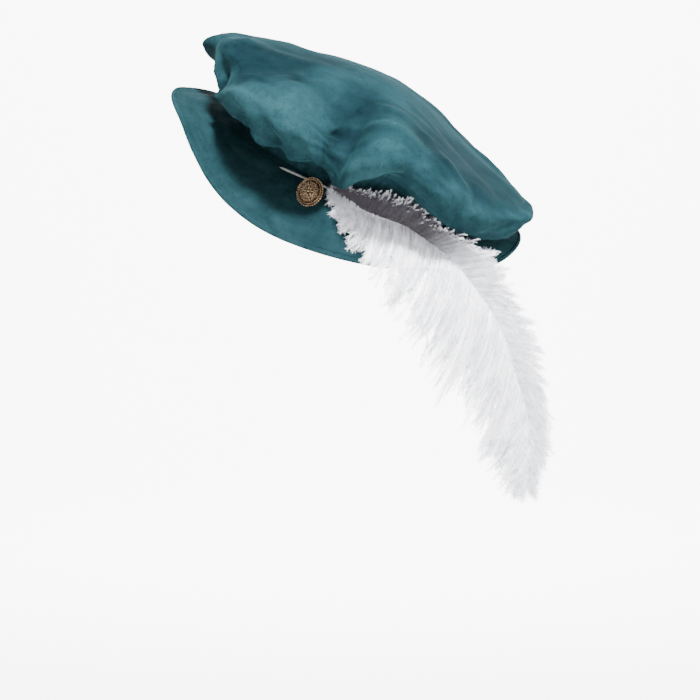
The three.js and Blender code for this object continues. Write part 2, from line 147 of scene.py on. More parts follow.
def soft_waves(flat, spread, seed, count=9):
    """Uneven soft waves over flat cloth, between about -1 and 1."""
    draw = np.random.default_rng(seed)
    total = 0
    for _ in range(count):
        turn = draw.uniform(0, 2 * math.pi)
        length = spread * draw.uniform(0.6, 1.6)
        way = np.array([math.cos(turn), math.sin(turn)]) * 2 * math.pi / length
        total = total + np.sin(flat @ way + draw.uniform(0, 2 * math.pi))
    return total / math.sqrt(count)


# ---------------------------------------------------------------- making pieces

def spun_rings(count, segments, closed=False):
    """A flat disc of rings a unit apart, spun from a row of vertices, to be moved later."""
    bm = bmesh.new()
    row = [bm.verts.new((k + 1.0, 0.0, 0.0)) for k in range(count)]
    edges = [bm.edges.new(pair) for pair in zip(row, row[1:])]
    if closed:
        edges.append(bm.edges.new((row[-1], row[0])))
    bmesh.ops.spin(bm, geom=row + edges, cent=(0, 0, 0), axis=(0, 0, 1), dvec=(0, 0, 0),
                   angle=2 * math.pi, steps=segments, use_merge=True, use_normal_flip=False,
                   use_duplicate=False)
    return bm


def places_in(bm):
    return np.array([v.co for v in bm.verts])


def rings_and_turns(bm):
    """The ring that each vertex is on, and its angle round the hat."""
    co = places_in(bm)
    ring = np.rint(np.hypot(co[:, 0], co[:, 1]) - 1).astype(int)
    return ring, np.degrees(np.arctan2(co[:, 0], -co[:, 1])) % 360


def move_all(bm, places):
    for vertex, place in zip(bm.verts, places):
        vertex.co = place


def strips(count, rows):
    """Loose strips, one face wide, cut from one grid, and each vertex's strip, edge and row."""
    bm = bmesh.new()
    wide = 2 * count - 1
    bmesh.ops.create_grid(bm, x_segments=wide, y_segments=rows, size=0.5,
                          matrix=Matrix.Diagonal((wide, rows, 1, 1)))
    between = [f for f in bm.faces if int(f.calc_center_median().x + wide / 2) % 2]
    bmesh.ops.delete(bm, geom=between, context="FACES")
    co = places_in(bm)
    across = np.rint(co[:, 0] + wide / 2).astype(int)
    along = np.rint(co[:, 1] + rows / 2).astype(int)
    return bm, across // 2, across % 2, along


def keep_tone_and_painted_light(bm, lie):
    """Keeps each vertex's pile tone, with its painted light and painted shade, for the velvet to
    read.
    """
    layer = bm.verts.layers.float.new("pile_tone_and_painted_light")
    for vertex, value in zip(bm.verts, lie):
        vertex[layer] = value


def finish_piece(name, bm, material, node, smooth=True, turn_out=True):
    """A named piece of the hat that stands for one of its solids."""
    if turn_out:
        bmesh.ops.recalc_face_normals(bm, faces=bm.faces)
    mesh = bpy.data.meshes.new(name)
    bm.to_mesh(mesh)
    bm.free()
    if smooth:
        mesh.shade_smooth()
    mesh.materials.append(material)
    piece = bpy.data.objects.new(name, mesh)
    bpy.context.scene.collection.objects.link(piece)
    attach(piece, "root")
    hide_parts(node)
    return piece


# ---------------------------------------------------------------- materials

class Recipe:
    """A material's nodes, with short ways to add and join them."""

    def __init__(self, name):
        self.material = bpy.data.materials.new(name)
        self.material.use_nodes = True
        self.tree = self.material.node_tree
        self.shader = self.tree.nodes["Principled BSDF"]

    def node(self, kind, **settings):
        made = self.tree.nodes.new(kind)
        for key, value in settings.items():
            if key in made.inputs:
                made.inputs[key].default_value = value
            else:
                setattr(made, key, value)
        return made

    def join(self, source, target):
        self.tree.links.new(source, target)

    def set(self, **values):
        for key, value in values.items():
            self.shader.inputs[key.replace("_", " ")].default_value = value

    def colour(self, source):
        self.join(source, self.shader.inputs["Base Color"])

    def noise(self, scale, detail, rough, warp, places):
        made = self.node("ShaderNodeTexNoise", Scale=scale, Detail=detail, Roughness=rough,
                         Distortion=warp)
        self.join(places, made.inputs["Vector"])
        return made.outputs["Fac"]

    def ramp(self, source, stops):
        made = self.node("ShaderNodeValToRGB")
        band = made.color_ramp.elements
        while len(band) < len(stops):
            band.new(0.5)
        for element, (place, colour) in zip(band, stops):
            element.position = place
            element.color = (*colour, 1.0)
        self.join(source, made.inputs["Fac"])
        return made.outputs["Color"]

    def blend(self, factor, a, b, kind="MIX"):
        made = self.node("ShaderNodeMix", data_type="RGBA", blend_type=kind)
        for value, socket in ((factor, made.inputs[0]), (a, made.inputs[6]), (b, made.inputs[7])):
            if isinstance(value, (int, float)):
                socket.default_value = value
            elif isinstance(value, tuple):
                socket.default_value = (*value, 1.0)
            else:
                self.join(value, socket)
        return made.outputs[2]

    def relief(self, height, strength, distance, under=None):
        """Gives the surface a fine relief, over a coarser one if there is one under it."""
        made = self.node("ShaderNodeBump", Strength=strength, Distance=distance)
        self.join(height, made.inputs["Height"])
        if under is not None:
            self.join(under, made.inputs["Normal"])
        self.join(made.outputs["Normal"], self.shader.inputs["Normal"])
        return made.outputs["Normal"]

    def vane_map(self, *scale):
        """Shares along the shaft and along the barb, and the same map stretched by a scale."""
        where = self.node("ShaderNodeUVMap", uv_map="vane").outputs["UV"]
        parts = self.node("ShaderNodeSeparateXYZ")
        self.join(where, parts.inputs[0])
        stretch = self.node("ShaderNodeMapping", Scale=scale)
        self.join(where, stretch.inputs["Vector"])
        return parts.outputs["X"], parts.outputs["Y"], stretch.outputs["Vector"]


def object_places(recipe):
    return recipe.node("ShaderNodeTexCoord").outputs["Object"]


def velvet(name, deep, light):
    """Cotton velvet: a short pile with uneven tone, painted light and painted shade read from an
    attribute, dark where crushed.
    """
    r = Recipe(name)
    places = object_places(r)
    # this attribute carries painted light and painted shade as well as the pile's own uneven tone
    lie = r.node("ShaderNodeAttribute", attribute_name="pile_tone_and_painted_light").outputs["Fac"]
    brushed = r.noise(30, 4, 0.6, 0.8, places)
    crushed = r.noise(190, 4, 0.65, 1.4, places)
    nap = r.noise(2600, 2, 0.7, 0, places)
    pile = r.ramp(brushed, [(0.34, deep), (0.66, light)])
    painted_light_scale = r.ramp(lie, [(0.02, (0.3, 0.36, 0.4)), (0.5, (0.84, 0.86, 0.87)),
                           (0.95, (1.5, 1.42, 1.38))])
    darker = r.ramp(crushed, [(0.36, (0.62, 0.68, 0.71)), (0.5, (1, 1, 1))])
    pile = r.blend(1.0, pile, painted_light_scale, "MULTIPLY")
    r.colour(r.blend(0.7, pile, darker, "MULTIPLY"))
    r.relief(nap, 0.35, 0.0003, r.relief(crushed, 0.3, 0.0005))
    r.set(Roughness=0.95, Sheen_Weight=0.022, Sheen_Roughness=0.45,
          Sheen_Tint=(0.2, 0.8, 0.9, 1), Specular_IOR_Level=0.02)
    return r.material


def velvet_ground():
    """The woven back of the velvet, seen inside the crown."""
    r = Recipe("velvet_ground")
    places = object_places(r)
    threads = r.node("ShaderNodeTexChecker", Scale=1100.0)
    r.join(places, threads.inputs["Vector"])
    uneven = r.noise(60, 3, 0.5, 0, places)
    r.colour(r.ramp(uneven, [(0.3, (0.004, 0.015, 0.018)), (0.7, (0.007, 0.022, 0.026))]))
    r.relief(threads.outputs["Fac"], 0.3, 0.0002)
    r.set(Roughness=0.88, Specular_IOR_Level=0.2)
    return r.material


def old_gold(name, dark, bright, rough):
    """Cast brass with worn tops and tarnish between them."""
    r = Recipe(name)
    places = object_places(r)
    worn_off = r.noise(900, 3, 0.6, 0, places)
    specks = r.noise(3200, 2, 0.6, 0, places)
    r.colour(r.ramp(worn_off, [(0.38, dark), (0.6, bright)]))
    r.relief(specks, 0.25, 0.0001)
    r.set(Metallic=1.0, Roughness=rough)
    return r.material


def quill_horn():
    """A bare quill: pale horn darkened by painted shade, with faint streaks along it."""
    r = Recipe("quill_horn")
    along_shaft, _, stretched = r.vane_map(6, 40, 1)
    streak = r.noise(2.0, 3, 0.6, 0, stretched)
    # painted shade: the bare quill's horn is made dark, as it sits in the crown's shadow
    horn_in_painted_shade = r.ramp(streak, [(0.3, (0.07, 0.078, 0.075)), (0.7, (0.2, 0.21, 0.2))])
    whiter = r.ramp(along_shaft, [(0.17, (0, 0, 0)), (0.26, (1, 1, 1))])
    r.colour(r.blend(whiter, horn_in_painted_shade, (0.8, 0.81, 0.84)))
    r.relief(streak, 0.3, 0.0002)
    r.set(Roughness=0.42, Specular_IOR_Level=0.45)
    return r.material


def plume_down(name, root, tip, root_ends):
    """Barbs: darker near the shaft's root, which on the inner vane is painted shade, white beyond,
    with painted shade in streaks between the barbs, uneven from barb to barb.
    """
    r = Recipe(name)
    along_shaft, along_barb, stretched = r.vane_map(420, 3, 1)
    start, end = root_ends
    lengthwise = r.ramp(along_shaft, [(start, (0, 0, 0)), (end, (1, 1, 1))])
    outward = r.ramp(along_barb, [(0.72, (0, 0, 0)), (0.92, (1, 1, 1))])
    white = r.blend(1.0, lengthwise, outward, "SCREEN")
    strands = r.noise(1.0, 2, 0.5, 0, stretched)
    # painted shade: dark streaks along the barbs stand for the gaps between them
    shade = r.ramp(strands, [(0.34, (0.52, 0.53, 0.58)), (0.56, (1, 1, 1))])
    r.colour(r.blend(1.0, r.blend(white, root, tip), shade, "MULTIPLY"))
    r.relief(strands, 0.15, 0.0002)
    r.set(Roughness=0.85, Sheen_Weight=0.35, Sheen_Roughness=0.5, Specular_IOR_Level=0.2)
    return r.material


def plain_paper():
    r = Recipe("plain_paper")
    grain = r.noise(40, 3, 0.5, 0, object_places(r))
    r.colour(r.ramp(grain, [(0, (0.86, 0.86, 0.86)), (1, (0.9, 0.9, 0.9))]))
    r.set(Roughness=0.9, Specular_IOR_Level=0.1)
    return r.material


# ---------------------------------------------------------------- crown

HEAD_HALF_WIDTH = 84
HEAD_HALF_LENGTH = 100
BRIM_THICK = 3
CROWN_ROOT = 1.8
CROWN_TOP = 81
CLOTH = 2
CLOTH_RADIUS = 270
SEAM_GAP = 0.35
CROWN_RINGS = 124
CROWN_TURN_STEPS = 288
CROWN_COLUMNS = ("at", "lip", "low", "reach", "shoulder", "high", "crest")
CROWN_SECTIONS = (
    (12, 128, 28, 137, 148, 67, 79), (26, 131, 26, 136, 143, 67, 80),
    (40, 138, 25, 145, 146, 62, 80), (52, 141, 25, 150, 146, 60, 80),
    (63, 140, 24, 149, 146, 58, 78), (71, 136, 26, 146, 142, 55, 76),
    (80.5, 126, 28, 138, 134, 50, 74), (86.5, 111, 13, 126, 122, 46, 73),
    (94, 121, 26, 136, 132, 54, 73), (99, 129, 33, 141, 137, 58, 73),
    (104, 136, 44, 146, 142, 62, 73),
    (115, 143, 39, 150, 146, 62, 71), (124, 148, 25, 153, 148, 56, 68),
    (133, 151, 16, 155, 150, 47, 65), (146, 153, 13, 157, 152, 39, 60),
    (160, 151, 11, 158, 161, 32, 55), (172, 152, 9, 154, 165, 30, 51),
    (184, 152, 9, 154, 164, 29, 49), (205, 152, 12, 158, 158, 27, 50),
    (235, 143, 14, 156, 152, 35, 61), (270, 136, 16, 150, 146, 46, 69),
    (305, 140, 16, 152, 148, 49, 71), (330, 150, 19, 160, 156, 50, 72),
    (343, 151, 28, 160, 157, 54, 72), (355, 134, 32, 143, 148, 59, 75),
)
# Each fold is a route over the flat cloth: angle, share of the way up, and rise at each place.
# Its two sides have their own widths, which start narrow, and its top is soft (0) or sharp (1).
CROWN_FOLDS = (
    # route, width to its left, to its right, narrowness at the start, sharpness
    # the deep fold over the tack, and its dark hollow
    (((89.5, 0.28, 4), (91, 0.43, 9), (97, 0.545, 13), (101, 0.63, 14), (104, 0.76, 12),
      (109, 0.87, 8), (128, 0.935, 3)), 20, 30, 0.3, 0.75),
    (((87.5, 0.34, -5), (85.5, 0.5, -9), (84, 0.66, -12), (82, 0.79, -13), (83, 0.88, -9),
      (98, 0.94, -3)), 26, 12, 0.35, 0.45),
    (((88, 0.25, 2), (86, 0.43, 3), (83, 0.5, 2), (79, 0.6, 1)), 5, 6, 0.8, 0.5),
    (((105, 0.34, 0), (109, 0.55, -3), (115, 0.72, -5), (124, 0.86, -3)), 9, 14, 0.5, 0.3),
    # the pinch at the front, with the folds that spread from it
    (((26, 0.41, 7), (39, 0.495, 7), (46.5, 0.565, 6), (54, 0.65, 6), (53, 0.75, 5),
      (50, 0.845, 3)), 9, 32, 0.6, 0.6),
    (((23, 0.5, -5), (29, 0.61, -9), (29, 0.71, -9), (20, 0.82, -4)), 22, 20, 0.5, 0.1),
    (((52, 0.66, -1), (51, 0.73, -2.5), (48, 0.8, -2.5), (42, 0.87, -1)), 3, 4, 0.8, 0.6),
    (((62, 0.63, 0.8), (61, 0.7, 1.6), (60, 0.78, 1.6), (58, 0.86, 0.8)), 5, 6, 0.8, 0.5),
    (((29, 0.43, -3), (25.5, 0.44, -5), (20.5, 0.465, -4), (15, 0.52, -2)),
     4, 12, 0.5, 0.2),
    (((26, 0.4, 2), (21, 0.43, 5), (15.5, 0.475, 7), (10, 0.54, 3), (5, 0.61, 1)),
     8, 7, 0.8, 0.5),
    (((12, 0.36, -2), (5, 0.43, -7), (0, 0.51, -8), (355, 0.6, -4)), 7, 7, 0.8, 0.3),
    # the panels along the lower edge, each over the one before it
    (((57, 0.27, 3), (55.5, 0.42, 5), (54, 0.475, 5), (50, 0.52, 4), (43, 0.505, 1)),
     5, 18, 0.9, 0.45),
    (((54, 0.27, -6), (52, 0.42, -5), (50, 0.475, -5), (45, 0.49, -3), (39, 0.47, 0)),
     12, 5, 0.9, 0.2),
    (((71, 0.27, 3), (69.5, 0.4, 5), (68, 0.45, 5), (65.5, 0.51, 4), (61, 0.54, 2),
      (56, 0.57, 0.5)), 5, 18, 0.9, 0.45),
    (((68, 0.27, -6), (66, 0.4, -5), (64, 0.45, -5), (61, 0.5, -3), (57, 0.53, 0)),
     12, 5, 0.9, 0.2),
    (((81, 0.3, 2), (78, 0.45, 3), (72, 0.56, 1)), 4, 9, 0.8, 0.5),
    # finer creases
    (((78, 0.8, 1.6), (88, 0.88, 2), (98, 0.93, 1)), 5, 6, 0.8, 0.6),
    (((80, 0.74, 1.2), (92, 0.83, 2), (104, 0.88, 1)), 4, 6, 0.8, 0.6),
    (((75, 0.66, -1), (84, 0.7, -2.4), (93, 0.74, -1)), 5, 5, 0.8, 0.5),
    (((60, 0.46, 1), (68, 0.55, 2), (78, 0.66, 1)), 7, 9, 0.8, 0.5),
    (((32, 0.48, 0.6), (42, 0.54, 2), (58, 0.57, 0.6)), 4, 5, 0.8, 0.7),
    (((64, 0.72, 1), (72, 0.8, 2), (74, 0.88, 1)), 7, 7, 0.8, 0.4),
    (((100, 0.36, 2), (106, 0.345, 3), (112, 0.41, 3.5), (118, 0.43, 2)), 4, 7, 0.8, 0.5),
    (((146, 0.32, 3), (158, 0.45, 5), (168, 0.56, 4)), 15, 13, 0.8, 0),
    (((146, 0.56, 0.6), (160, 0.58, 3), (180, 0.585, 6.5), (198, 0.57, 3), (215, 0.56, 0)),
     7, 6, 0.8, 0.9),
    (((146, 0.6, -1), (154, 0.66, -2.2), (160, 0.72, -1)), 6, 6, 0.8, 0.6),
    (((149, 0.48, -1), (155, 0.53, -2.2), (161, 0.6, -1)), 5, 5, 0.8, 0.6),
    (((12, 0.68, 1), (5, 0.715, 3.5), (355, 0.74, 1)), 8, 8, 0.8, 0.4),
    (((130, 0.5, -1), (138, 0.6, -2.4), (141, 0.74, -1)), 8, 6, 0.8, 0.4),
    (((134, 0.64, 1), (128, 0.74, 2), (126, 0.84, 1)), 6, 6, 0.8, 0.5),
    (((118, 0.45, 0.6), (124, 0.56, 2), (134, 0.66, 0.6)), 5, 9, 0.8, 0.5),
    (((136, 0.3, 0.6), (141, 0.42, 2), (144, 0.52, 0.6)), 5, 7, 0.8, 0.5),
    # the far side
    (((194, 0.6, -1), (206, 0.68, -4), (222, 0.76, -4)), 16, 20, 0.7, 0.1),
    (((212, 0.26, -1), (210, 0.34, -2), (208, 0.4, -1)), 7, 9, 0.8, 0.3),
    (((234, 0.32, 2), (240, 0.5, 5), (248, 0.68, 2)), 8, 14, 0.7, 0.4),
    (((250, 0.34, 3), (256, 0.52, 6), (262, 0.7, 3)), 20, 16, 0.7, 0.1),
    (((272, 0.28, -2), (274, 0.45, -4), (277, 0.62, -2)), 6, 9, 0.8, 0.5),
    (((292, 0.34, -3), (289, 0.52, -7), (286, 0.72, -3)), 16, 20, 0.7, 0.1),
    (((312, 0.3, 2), (309, 0.48, 4), (305, 0.66, 2)), 8, 11, 0.8, 0.4),
    (((330, 0.32, -2), (326, 0.5, -5), (320, 0.7, -2)), 7, 11, 0.8, 0.4),
    (((336, 0.36, -1), (333, 0.5, -4), (328, 0.66, -2)), 9, 10, 0.8, 0.2),
    (((344, 0.38, 0), (346, 0.5, 8), (349, 0.56, 4), (353, 0.61, 0)), 8, 8, 0.8, 0.7),
    (((224, 0.6, -1), (232, 0.72, -2), (241, 0.84, -1)), 8, 9, 0.8, 0.4),
    (((300, 0.64, -1), (308, 0.75, -2.4), (318, 0.86, -1)), 9, 11, 0.8, 0.4),
    (((260, 0.7, 1), (270, 0.8, 2), (280, 0.88, 1)), 9, 11, 0.8, 0.4),
)
# Painted light and painted shade, laid on as though the pile were stroked the other way: angle,
# share of the way up, spread and how much.
PAINTED_LIGHT_AND_SHADE = (
    # painted shade over the front, with some painted light on its ridge
    (28, 0.68, 34, -0.5), (18, 0.8, 26, -0.32), (352, 0.88, 18, -0.22), (31, 0.78, 14, -0.15),
    (24, 0.445, 9, -0.8), (344, 0.5, 18, -0.3), (15, 0.46, 8, 0.4), (13, 0.54, 8, 0.5),
    (36, 0.6, 14, -0.3), (44, 0.72, 10, -0.2), (340, 0.9, 14, -0.3),
    (47, 0.79, 10, -0.4), (44, 0.675, 9, -0.3), (46, 0.9, 12, 0.2),
    # painted light between the front and the tack, and painted shade under its edge
    (49, 0.535, 12, 0.5), (58, 0.58, 20, 0.22), (66, 0.66, 26, 0.16), (56, 0.84, 18, 0.2),
    (62, 0.46, 12, 0.24), (73, 0.52, 16, 0.08), (66, 0.78, 11, 0.25), (44, 0.51, 11, 0.55),
    (85, 0.4, 7, 0.3), (76, 0.71, 13, 0.4),
    # the tack: painted shade in its hollow and painted light on its face
    (81.5, 0.83, 18, -0.4), (83, 0.7, 14, -0.35), (86, 0.53, 10, -0.35), (78, 0.91, 14, -0.25),
    (91, 0.63, 10, -0.5), (93, 0.73, 11, -0.55),
    (104, 0.6, 15, 0.22), (95, 0.53, 6, 0.4), (98, 0.625, 6, 0.35), (98.5, 0.5, 13, 0.75),
    (107, 0.76, 12, 0.3), (94, 0.44, 8, 0.45), (104, 0.2, 22, 0.4), (118, 0.52, 12, 0.15),
    # behind it
    (131, 0.81, 16, -0.6), (143, 0.74, 18, -0.45), (122, 0.68, 16, -0.25), (170, 0.78, 42, -0.4),
    (113, 0.78, 9, -0.4), (131, 0.62, 11, 0.15), (124, 0.77, 9, -0.3), (165, 0.86, 18, -0.3),
    (138, 0.945, 11, 0.3), (138, 0.34, 22, -0.1), (157, 0.617, 7, 0.24), (152, 0.5, 20, 0.15),
    (140, 0.56, 16, 0.1),
    # the far side
    (230, 0.6, 40, -0.15), (275, 0.55, 36, 0.12), (315, 0.65, 40, -0.16),
)
TURNED_IN_RINGS = 3  # of the seam allowance, which lies against the inside of the brim
GATHER_COUNT = 74
GATHER_DEPTH = 0.9
CROWDED_AT = 92
CROWDED_BY = 0.4

SECTION = {name: reader(CROWN_SECTIONS, CROWN_COLUMNS, name, 360.0) for name in CROWN_COLUMNS[1:]}


def crown_form(angle, share):
    """The crown's outer face before its folds."""
    root = oval(angle, HEAD_HALF_WIDTH, HEAD_HALF_LENGTH)
    lip, low, reach, shoulder, high, crest = (SECTION[name](angle) for name in CROWN_COLUMNS[1:])
    radius = [root, root + 1, mix(root, lip, 0.15), mix(root, lip, 0.65), lip, reach + 3,
              shoulder, reach * 0.8, reach * 0.5, reach * 0.18, 0 * root]
    flat = 0 * root
    height = [flat + CROWN_ROOT, flat + CROWN_ROOT + 4, mix(CROWN_ROOT, low, 0.5), low, low - 3,
              (low + high) / 2, high + 2, mix(high, crest, 0.6), crest, flat + CROWN_TOP,
              flat + CROWN_TOP]
    weights = spline_weights(len(radius), share)
    return around(angle, (weights * np.array(radius)).sum(0), (weights * np.array(height)).sum(0))


def normals_of(form, angle, share, da=1.5, ds=0.01):
    s = np.clip(share, ds, 1 - 2 * ds)
    turn = form(angle + da, s) - form(angle - da, s)
    up = form(angle, s + ds) - form(angle, s - ds)
    return unit(np.cross(turn, up))


def flat_cloth(angle, share):
    """Places on the crown's cloth laid out flat, with the seam as its round edge."""
    a = np.radians(angle)
    radius = CLOTH_RADIUS * (1 - share)
    return np.stack([-radius * np.sin(a), radius * np.cos(a)], axis=-1)


def fold_rise(angle, share):
    here = flat_cloth(angle, share)
    rise = np.zeros(len(here))
    for route, left, right, narrow, sharp in CROWN_FOLDS:
        turn, up, lift = np.array(route, float).T
        spot = flat_cloth(turn, up)
        run = np.linalg.norm(np.diff(spot, axis=0), axis=1)
        nearest = np.full(len(here), np.inf)
        height = np.zeros(len(here))
        for k, way in enumerate(np.diff(spot, axis=0)):
            off = here - spot[k]
            t = np.clip(off @ way / run[k] ** 2, 0, 1)
            gap = off - t[:, None] * way
            away = np.linalg.norm(gap, axis=1)
            hand = (way[0] * gap[:, 1] - way[1] * gap[:, 0]) / run[k] / np.maximum(away, 1e-6)
            gone = (run[:k].sum() + t * run[k]) / run.sum()
            far = away / mix(right, left, 0.5 + 0.5 * hand) / mix(narrow, 1, gone)
            slope = 1 - (np.hypot(far, 0.16) - 0.16) / 1.5
            crisp = (slope + np.hypot(slope, 0.12)) / 2
            here_high = mix(lift[k], lift[k + 1], t) * mix(np.exp(-far * far), crisp, sharp)
            height = np.where(away < nearest, here_high, height)
            nearest = np.minimum(nearest, away)
        rise += height
    return rise


def pile_tone_and_painted_light(angle, share):
    """How light the pile looks: painted shade in the fold hollows, painted light on the ridges,
    painted light and painted shade at the listed spots, and soft uneven tone.
    """
    here = flat_cloth(angle, share)
    # painted shade in the hollows of the folds and painted light on their ridges
    lie = 0.5 + 0.011 * np.clip(fold_rise(angle, share), -14, 12)
    # painted light and painted shade at each listed spot
    for turn, up, spread, much in PAINTED_LIGHT_AND_SHADE:
        away = here - flat_cloth(np.array([turn]), np.array([up]))
        lie += much * np.exp(-(away ** 2).sum(1) / spread ** 2)
    lie += 0.07 * soft_waves(here, 46, 31) + 0.06 * soft_waves(here, 17, 32)
    return np.clip(lie, 0, 1)


def crown_face(angle, share):
    calm = np.minimum(1, np.minimum(share / 0.1, (1 - share) / 0.12))
    rise = fold_rise(angle, share) * calm
    return crown_form(angle, share) + normals_of(crown_form, angle, share) * rise[:, None]


def crown_detail(angle, share):
    """Gathers at the seam and the soft unevenness of cloth that has been worn."""
    calm = np.minimum(1, np.minimum(share / 0.06, (1 - share) / 0.1))
    flat = flat_cloth(angle, share)
    rise = 0.7 * soft_waves(flat, 58, 3) + 0.25 * soft_waves(flat, 21, 8)
    sway = 3.0 * np.sin(np.radians(angle) * 7 + 1.0) + 2.0 * np.sin(np.radians(angle) * 13)
    gathers = np.cos(np.radians(angle) * GATHER_COUNT + sway)
    rise += gathers * GATHER_DEPTH * np.exp(-((share - 0.07) / 0.1) ** 2)
    return rise * calm


def crown_turn(angle):
    """Segments crowd together on the side with the deepest folds."""
    even = np.radians(angle)
    return np.degrees(even - CROWDED_BY * np.sin(even - math.radians(CROWDED_AT)))


def make_crown():
    bm = spun_rings(CROWN_RINGS, CROWN_TURN_STEPS)
    ring, turn = rings_and_turns(bm)
    angle = crown_turn(turn)
    share = np.maximum(ring - TURNED_IN_RINGS, 0) / (CROWN_RINGS - 1 - TURNED_IN_RINGS)
    face = crown_face(angle, share)
    out = normals_of(crown_face, angle, share)
    places = face + out * crown_detail(angle, share)[:, None]
    pole = ring == CROWN_RINGS - 1
    places[pole] = (0, 0, CROWN_TOP)
    inside = oval(angle, HEAD_HALF_WIDTH - SEAM_GAP, HEAD_HALF_LENGTH - SEAM_GAP)
    turned_in = np.clip(TURNED_IN_RINGS - ring, 0, None)
    allowance = around(angle, inside, CROWN_ROOT - 0.2 - 1.6 * (turned_in - 1))
    places = np.where((turned_in > 0)[:, None], allowance, places)
    move_all(bm, worn(places) * MM)
    keep_tone_and_painted_light(bm, np.where(turned_in > 0, 0.5, pile_tone_and_painted_light(angle, share)))
    bmesh.ops.remove_doubles(bm, verts=[v for v, at_pole in zip(bm.verts, pole) if at_pole],
                             dist=1e-5)
    bm.verts.ensure_lookup_table()
    bmesh.ops.recalc_face_normals(bm, faces=bm.faces)
    middle = max(bm.faces, key=lambda f: f.calc_center_median().z)
    if middle.normal.z < 0:
        bmesh.ops.reverse_faces(bm, faces=bm.faces)
    piece = finish_piece("crown_velvet_pouch", bm, VELVET_CROWN, "crown",
                         turn_out=False)
    piece.data.materials.append(VELVET_GROUND)
    wall = piece.modifiers.new("wall", "SOLIDIFY")
    wall.thickness = CLOTH * MM
    wall.offset = -1
    wall.material_offset = 1
    wall.material_offset_rim = 0
    return piece


# ---------------------------------------------------------------- brim

BRIM_HALF_WIDTH = 140
BRIM_HALF_LENGTH = 166
BRIM_BOW = 1.25
BRIM_TURN_STEPS = 288
BRIM_RIM = ((0, 0), (22, -2), (37, -18), (46, -29), (57, -38), (72, -43), (90, -41), (112, -34),
            (135, -22), (155, -14), (180, 0), (210, -8), (240, -24), (270, -32), (300, -24),
            (329, -10), (345, -5))
RIM_ROUNDING = 0.974
EDGE_SEAM_AT = 0.945
RIM_READER = reader(BRIM_RIM, ("at", "rim"), "rim", 360.0)


def brim_face(angle, share):
    """The brim's middle face."""
    inner = oval(angle, HEAD_HALF_WIDTH, HEAD_HALF_LENGTH)
    outer = oval(angle, BRIM_HALF_WIDTH, BRIM_HALF_LENGTH)
    height = RIM_READER(angle) * np.maximum(share, 0) ** BRIM_BOW
    return around(angle, mix(inner, outer, share), height)


def brim_loop():
    """Shares and offsets of the rings over the top, round the rim and back underneath."""
    top = np.concatenate([np.linspace(0, 0.9, 26), np.linspace(0.912, RIM_ROUNDING, 14)])
    turn = np.radians(np.linspace(75, -75, 9))
    rim = RIM_ROUNDING + (1 - RIM_ROUNDING) * np.cos(turn)
    share = np.concatenate([top, rim, top[::-1]])
    side = np.concatenate([np.ones(len(top)), np.sin(turn), -np.ones(len(top))])
    return share, side


def make_brim():
    share_of, side_of = brim_loop()
    bm = spun_rings(len(share_of), BRIM_TURN_STEPS, closed=True)
    ring, angle = rings_and_turns(bm)
    share, side = share_of[ring], side_of[ring]
    out = normals_of(brim_face, angle, share)
    groove = 0.5 * np.exp(-((share - EDGE_SEAM_AT) / 0.009) ** 2)
    swell = 0.35 * np.exp(-((share - 0.975) / 0.016) ** 2)
    offset = side * (BRIM_THICK / 2 - groove + swell * (np.abs(side) == 1))
    flat = flat_cloth(angle, share)
    wave = (0.5 * soft_waves(flat, 75, 21) + 0.22 * soft_waves(flat, 24, 22)) * np.minimum(
        1, share / 0.2)
    pucker = 0.25 * np.cos(np.radians(angle) * 90 + 2 * np.sin(np.radians(angle) * 11))
    pucker = pucker * np.exp(-((share - EDGE_SEAM_AT) / 0.03) ** 2)
    places = brim_face(angle, share) + out * (offset + wave + pucker * side)[:, None]
    move_all(bm, worn(places) * MM)
    lie = 0.5 + 0.07 * soft_waves(flat, 60, 41) + 0.05 * soft_waves(flat, 19, 42)
    # painted light towards the front and painted shade towards the back, and a painted highlight
    # along the rim
    lie += 0.12 * np.cos(np.radians(angle - 5)) + 0.12 * np.exp(-((share - 0.985) / 0.012) ** 2)
    # painted light on the brim's rear end, which lies in the crown's shadow
    lie += 0.5 * np.exp(-((angle - 162) / 16) ** 2) * np.clip((share - 0.6) / 0.3, 0, 1)
    keep_tone_and_painted_light(bm, lie)
    finish_piece("brim_velvet_cover", bm, VELVET_BRIM, "brim")


# ---------------------------------------------------------------- button

BUTTON_PLACE = Vector((107.0, -20.2, -4.0))
BUTTON_LIES_BACK = 18
BUTTON_TURN = 34
BUTTON_LEVEL = (Matrix.Translation(BUTTON_PLACE)
                @ Matrix.Rotation(-math.radians(BUTTON_TURN), 4, "Z")
                @ Matrix.Rotation(math.radians(90 - BUTTON_LIES_BACK), 4, "Y"))
BUTTON_SET = WORN @ BUTTON_LEVEL
BUTTON_TRIM = Matrix.Scale(0.94, 4)
IN_METRES = Matrix.Scale(MM, 4)
DOME_RADIUS = 13.0
DOME_EDGE = 1.3
DOME_RISE = 3.3
RIM_BEADS = 36
SCROLLS = 9
PETALS = 8
PETAL_RING = 3.4
FINE_BEADS = 16
FINE_BEAD_RING = 5.0
SHANK_LONGEST = 15


def dome(radius):
    """The height of the button's domed plate."""
    return DOME_EDGE + DOME_RISE * (1 - (radius / DOME_RADIUS) ** 2)


def turned(bm, outline, steps):
    """An outline of radius and height, spun round an upright axis."""
    row = [bm.verts.new((r, 0, z)) for r, z in outline]
    edges = [bm.edges.new(pair) for pair in zip(row, row[1:])]
    bmesh.ops.spin(bm, geom=row + edges, cent=(0, 0, 0), axis=(0, 0, 1), dvec=(0, 0, 0),
                   angle=2 * math.pi, steps=steps, use_merge=True, use_normal_flip=False,
                   use_duplicate=False)


def bead(bm, place, size, stretch=(1, 1, 1), turn=0.0, fine=(10, 7)):
    """A grain of metal, round or stretched."""
    matrix = (Matrix.Translation(place) @ Matrix.Rotation(turn, 4, "Z")
              @ Matrix.Diagonal((*stretch, 1)))
    bmesh.ops.create_uvsphere(bm, u_segments=fine[0], v_segments=fine[1], radius=size,
                              matrix=matrix)


